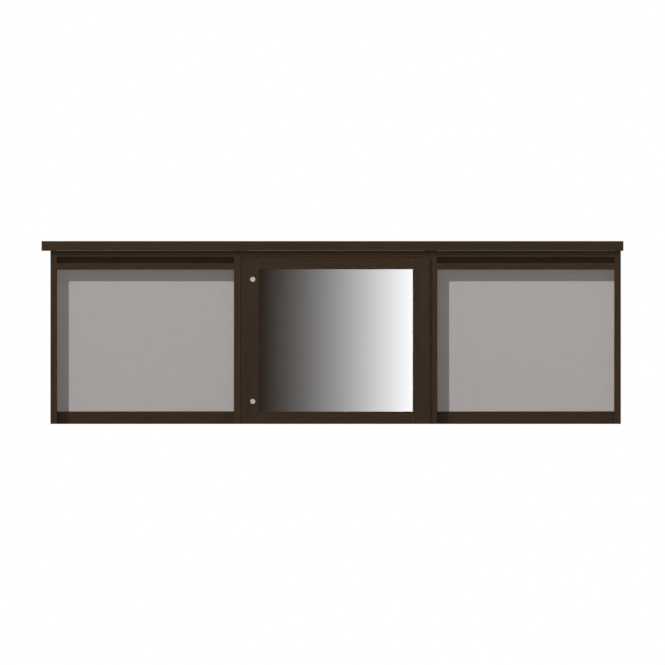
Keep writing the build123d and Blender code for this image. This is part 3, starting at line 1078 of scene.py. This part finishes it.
@dataclass
class ContinuousHinge(Assembly):
    """The hinge down the whole of the door's right edge."""

    leaves: tuple[str, ...] = ("hinge_frame_leaf", "hinge_door_leaf")

    def build(self) -> None:
        """Dresses the leaves in the boards' brown, and the pin and screws in steel."""
        for leaf in self.leaves:
            self.dress(leaf, BRONZE_COAT.material(leaf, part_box(leaf)))
        self.dress("hinge_pin", STAINLESS.material("hinge pin", Run.UPRIGHT))
        self.dress_steel("hinge_frame_screws", "hinge_door_screws")


@dataclass
class CamLock(Assembly):
    """One of the door's locks: a turned shell, a plug, a cam and its screw."""

    level: Level
    bore: float = 6.05 * MM
    bore_chamfer: float = 0.4 * MM
    ring_inner: float = 7.6 * MM
    ring_outer: float = 8.2 * MM
    ring_depth: float = 0.3 * MM
    edge_radius: float = 1.2 * MM
    edge_steps: int = 5
    barrel_radius: float = 9.5 * MM
    thread_start: float = 1.5 * MM
    thread_pitch: float = 1.5 * MM
    thread_depth: float = 0.45 * MM
    spin_steps: int = 64
    sharp_angle: float = math.radians(30)

    def shell_outline(self, box: Box) -> list[tuple[float, float]]:
        """Draws half a section of the shell.

        Args:
            box: the lowest and highest corner of the shell.

        Returns:
            Points given by their distance from the axis and their depth behind the shell's front.
        """
        low, high = box
        radius = (high.x - low.x) / 2
        length = high.y - low.y
        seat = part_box("door_lock_stile")[0].y - low.y
        points = [
            (self.bore, self.bore_chamfer),
            (self.bore + self.bore_chamfer, 0.0),
            (self.ring_inner, 0.0),
            ((self.ring_inner + self.ring_outer) / 2, self.ring_depth),
            (self.ring_outer, 0.0),
        ]
        for step in range(self.edge_steps + 1):
            turn = math.radians(90) * step / self.edge_steps
            out = radius - self.edge_radius * (1 - math.sin(turn))
            points.append((out, self.edge_radius * (1 - math.cos(turn))))
        points += [(radius, seat), (self.barrel_radius, seat)]
        thread_root = self.barrel_radius - self.thread_depth
        depth = seat + self.thread_start
        while depth + self.thread_pitch < length:
            points.append((self.barrel_radius, depth))
            points.append((thread_root, depth + self.thread_pitch / 2))
            depth += self.thread_pitch
        points += [(self.barrel_radius, depth), (thread_root, length), (self.bore, length)]
        return points

    def shell_mesh(self, box: Box) -> bmesh.types.BMesh:
        """Turns the shell about the lock's axis.

        Args:
            box: the lowest and highest corner of the shell.

        Returns:
            A new mesh.
        """
        centre = (box[0] + box[1]) / 2
        start = Vector((centre.x, box[0].y, centre.z))
        mesh = bmesh.new()
        outline = self.shell_outline(box)
        verts = [mesh.verts.new(start + Vector((out, depth, 0))) for out, depth in outline]
        edges = [mesh.edges.new(pair) for pair in zip(verts, verts[1:] + verts[:1])]
        bmesh.ops.spin(
            mesh,
            geom=verts + edges,
            cent=centre,
            axis=(0, 1, 0),
            angle=math.radians(360),
            steps=self.spin_steps,
            use_merge=True,
        )
        bmesh.ops.remove_doubles(mesh, verts=mesh.verts, dist=MERGED)
        bmesh.ops.recalc_face_normals(mesh, faces=mesh.faces)
        shade_smooth(mesh, self.sharp_angle)
        return mesh

    def build(self) -> None:
        """Adds the shell and dresses the rest."""
        level = self.level.value
        node = f"{level}_lock_barrel"
        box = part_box(node)
        nickel = SATIN_NICKEL.material(f"{level} shell", (box[0] + box[1]) / 2)
        self.add(f"{level}_lock_shell", self.shell_mesh(box), node, "lock_metal", nickel)
        self.dress(f"{level}_lock_plug", SATIN_NICKEL.material(f"{level} plug", Run.UPRIGHT))
        self.dress_steel(f"{level}_lock_cam", f"{level}_cam_screw")


@dataclass
class WallFixings(Assembly):
    """The battens that stand against the wall, with their threaded inserts."""

    battens: tuple[str, ...] = ("upper_wall_batten", "lower_wall_batten")

    def build(self) -> None:
        """Dresses the battens and what is in them."""
        for batten in self.battens:
            self.dress_board(batten, Run.ACROSS)
        self.dress("wall_fixing_inserts", BRASS.material("inserts", Run.INWARD))
        self.dress_steel("batten_screws")


@dataclass
class Joinery(Assembly):
    """The screws, bolts and nuts that hold the frame and the locks together."""

    fastenings: tuple[str, ...] = (
        "frame_screws",
        "back_panel_screws",
        "bay_joining_bolts",
        "bay_joining_nuts",
        "lock_nuts",
    )

    def build(self) -> None:
        """Dresses every fastening."""
        self.dress_steel(*self.fastenings)


@dataclass
class Studio:
    """The camera, the light, the floor, and the card and soft box that glass and metal mirror."""

    image_side: float = 665.0
    cap_left_pixel: float = 41.55
    cap_right_pixel: float = 623.45
    cap_top_pixel: float = 241.05
    camera_distance: float = 4.0

    key_travel: Vector = Vector((1.05, 1, -1.04))
    key_strength: float = 3.08
    key_angle: float = math.radians(1.5)
    front_travel: Vector = Vector((0, 1, 0))
    front_strength: float = 1.44
    front_angle: float = math.radians(10)
    back_travel: Vector = Vector((-0.5, -1, -0.8))
    back_strength: float = 1.8
    back_angle: float = math.radians(25)
    fill: float = 0.2
    first_scatter: float = 0.5

    floor_gap: float = 2 * MM
    floor_half: float = 60.0
    floor_seen: float = 0.8
    floor_fill: float = 0.2
    floor_lit: float = 0.885
    horizon_blend: float = 0.02

    softbox_place: Vector = Vector((-2.2, -2.6, 1.7))
    softbox_half: float = 0.8
    softbox_strength: float = 2.2

    card_distance: float = 10.0
    card_margin: float = 0.03
    card_dark: float = 0.156
    card_bright: float = 1.0
    card_gain: float = 11.1
    card_floor: float = 0.02
    card_tint: Colour = (0.985, 1.0, 1.03, 1.0)
    screen_gamma: float = 2.25

    def build_camera(self) -> None:
        """Looks straight at the board, without perspective, in the picture's frame."""
        low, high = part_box("rain_cap")
        pixel = (high.x - low.x) / (self.cap_right_pixel - self.cap_left_pixel)
        middle = self.image_side / 2
        data = bpy.data.cameras.new("front camera")
        data.type = "ORTHO"
        data.ortho_scale = self.image_side * pixel
        camera = bpy.data.objects.new("front camera", data)
        across = low.x + (middle - self.cap_left_pixel) * pixel
        height = high.z - (middle - self.cap_top_pixel) * pixel
        camera.location = (across, -self.camera_distance, height)
        camera.rotation_euler = (math.radians(90), 0, 0)
        bpy.context.scene.collection.objects.link(camera)
        bpy.context.scene.camera = camera

    def add_sun(self, name: str, travel: Vector, strength: float, angle: float) -> bpy.types.Object:
        """Adds a distant lamp.

        Args:
            name: the lamp's name.
            travel: the way that its light goes.
            strength: how strong it is.
            angle: how wide it looks, which softens its shadows.

        Returns:
            The lamp.
        """
        data = bpy.data.lights.new(name, "SUN")
        data.energy = strength
        data.angle = angle
        lamp = bpy.data.objects.new(name, data)
        lamp.rotation_euler = travel.to_track_quat("-Z", "Y").to_euler()
        bpy.context.scene.collection.objects.link(lamp)
        return lamp

    def build_lamps(self) -> None:
        """Adds a key light and a soft front light, which nothing mirrors, and a light from behind."""
        key = self.add_sun("key light", self.key_travel, self.key_strength, self.key_angle)
        front = self.add_sun("front light", self.front_travel, self.front_strength, self.front_angle)
        key.visible_glossy = False
        front.visible_glossy = False
        front.visible_transmission = False
        self.add_sun("back light", self.back_travel, self.back_strength, self.back_angle)

    def seen_rays(self, wiring: Wiring) -> bpy.types.NodeSocket:
        """Tells rays that show a thing from rays that only light one.

        Args:
            wiring: the tree that asks.

        Returns:
            The output that is 1 for a ray from the camera, also by way of metal or glass.
        """
        path = wiring.node("ShaderNodeLightPath").outputs
        mirrored = wiring.math("MAXIMUM", path["Is Glossy Ray"], path["Is Transmission Ray"])
        shown = wiring.math("MAXIMUM", path["Is Camera Ray"], mirrored)
        unscattered = wiring.math("LESS_THAN", path["Diffuse Depth"], self.first_scatter)
        return wiring.math("MULTIPLY", shown, unscattered)

    def build_world(self) -> None:
        """Makes a white backdrop, with the floor's grey below the horizon, that lights from all round."""
        world = bpy.data.worlds.new("studio")
        world.use_nodes = True
        bpy.context.scene.world = world
        wiring = Wiring(world.node_tree)
        direction = wiring.node("ShaderNodeTexCoord").outputs["Generated"]
        height = wiring.node("ShaderNodeSeparateXYZ", {0: direction}).outputs["Z"]
        below = wiring.remap(height, 0.0, -self.horizon_blend)
        colour = wiring.mix(below, WHITE, shaded(WHITE, self.floor_lit))
        strength = wiring.remap(self.seen_rays(wiring), 0.0, 1.0, self.fill, 1.0)
        light = wiring.node("ShaderNodeBackground", {"Color": colour, "Strength": strength})
        wiring.node("ShaderNodeOutputWorld", {"Surface": light.outputs[0]})

    def add_sheet(
        self, name: str, centre: Vector, half: float, turn: Matrix
    ) -> tuple[bpy.types.Object, Wiring]:
        """Adds a flat square that isn't part of the board.

        Args:
            name: what it is called.
            centre: where its middle lies.
            half: half the length of its sides.
            turn: how it is turned from lying flat.

        Returns:
            The square, and the wiring of its material.
        """
        mesh = bmesh.new()
        place = Matrix.Translation(centre) @ turn
        bmesh.ops.create_grid(mesh, x_segments=1, y_segments=1, size=half, matrix=place)
        data = bpy.data.meshes.new(name)
        mesh.to_mesh(data)
        mesh.free()
        material = bpy.data.materials.new(name)
        material.use_nodes = True
        data.materials.append(material)
        sheet = bpy.data.objects.new(name, data)
        bpy.context.scene.collection.objects.link(sheet)
        return sheet, Wiring(material.node_tree)

    def build_floor(self) -> None:
        """Adds the pale floor just under the board."""
        centre = Vector((0, 0, CAD_BOX[0].z - self.floor_gap))
        _, wiring = self.add_sheet("floor", centre, self.floor_half, Matrix.Identity(4))
        unseen = shaded(WHITE, self.floor_fill)
        colour = wiring.mix(self.seen_rays(wiring), unseen, shaded(WHITE, self.floor_seen))
        paint = wiring.node("ShaderNodeBsdfDiffuse", {"Color": colour})
        wiring.node("ShaderNodeOutputMaterial", {"Surface": paint.outputs[0]})

    def build_card(self) -> None:
        """Adds a card far in front, from dark to bright, that shows only in the pane's reflection."""
        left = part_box("door_lock_stile")[1].x
        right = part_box("door_hinge_stile")[0].x
        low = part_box("door_bottom_rail")[1].z
        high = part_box("door_top_rail")[0].z
        centre = Vector(((left + right) / 2, -self.card_distance, (low + high) / 2))
        half = max(right - left, high - low) / 2 + self.card_margin
        upright = Matrix.Rotation(math.radians(-90), 4, "X")
        card, wiring = self.add_sheet("gradient card", centre, half, upright)
        place = wiring.node("ShaderNodeTexCoord").outputs["Object"]
        across = wiring.node("ShaderNodeSeparateXYZ", {0: place}).outputs["X"]
        shade = wiring.remap(across, left, right, self.card_dark, self.card_bright)
        # What shows through the pane adds to its reflection, so that much is taken off.
        level = wiring.math("SUBTRACT", wiring.math("POWER", shade, self.screen_gamma), self.card_floor)
        strength = wiring.math("MULTIPLY", wiring.math("MAXIMUM", level, 0.0), self.card_gain)
        light = wiring.node("ShaderNodeEmission", {"Color": self.card_tint, "Strength": strength})
        wiring.node("ShaderNodeOutputMaterial", {"Surface": light.outputs[0]})
        self.show_in_gloss(card)

    def show_in_gloss(self, sheet: bpy.types.Object) -> None:
        """Keeps a sheet out of everything but reflections.

        Args:
            sheet: the sheet that is mirrored.
        """
        sheet.visible_camera = False
        sheet.visible_diffuse = False
        sheet.visible_transmission = False
        sheet.visible_volume_scatter = False
        sheet.visible_shadow = False

    def build_softbox(self) -> None:
        """Adds a soft box, up at the left, that only gives metal and gloss their highlights."""
        turn = self.softbox_place.to_track_quat("Z", "Y").to_matrix().to_4x4()
        sheet, wiring = self.add_sheet("soft box", self.softbox_place, self.softbox_half, turn)
        light = wiring.node("ShaderNodeEmission", {"Color": WHITE, "Strength": self.softbox_strength})
        wiring.node("ShaderNodeOutputMaterial", {"Surface": light.outputs[0]})
        self.show_in_gloss(sheet)

    def build(self) -> None:
        """Sets up everything round the board."""
        bpy.context.scene.view_settings.view_transform = "Standard"
        self.build_camera()
        self.build_lamps()
        self.build_world()
        self.build_floor()
        self.build_card()
        self.build_softbox()


def main() -> None:
    """Builds the studio and every sub-assembly, and reports each piece."""
    logging.basicConfig(level=logging.INFO, format="%(message)s")
    Studio().build()
    bays = [BayFrame(bay) for bay in Bay]
    door = [DoorStop(), Door(), ContinuousHinge(), *(CamLock(level) for level in Level)]
    for assembly in (RainCap(), *bays, *door, WallFixings(), Joinery()):
        assembly.build()


if __name__ == "__main__":
    main()
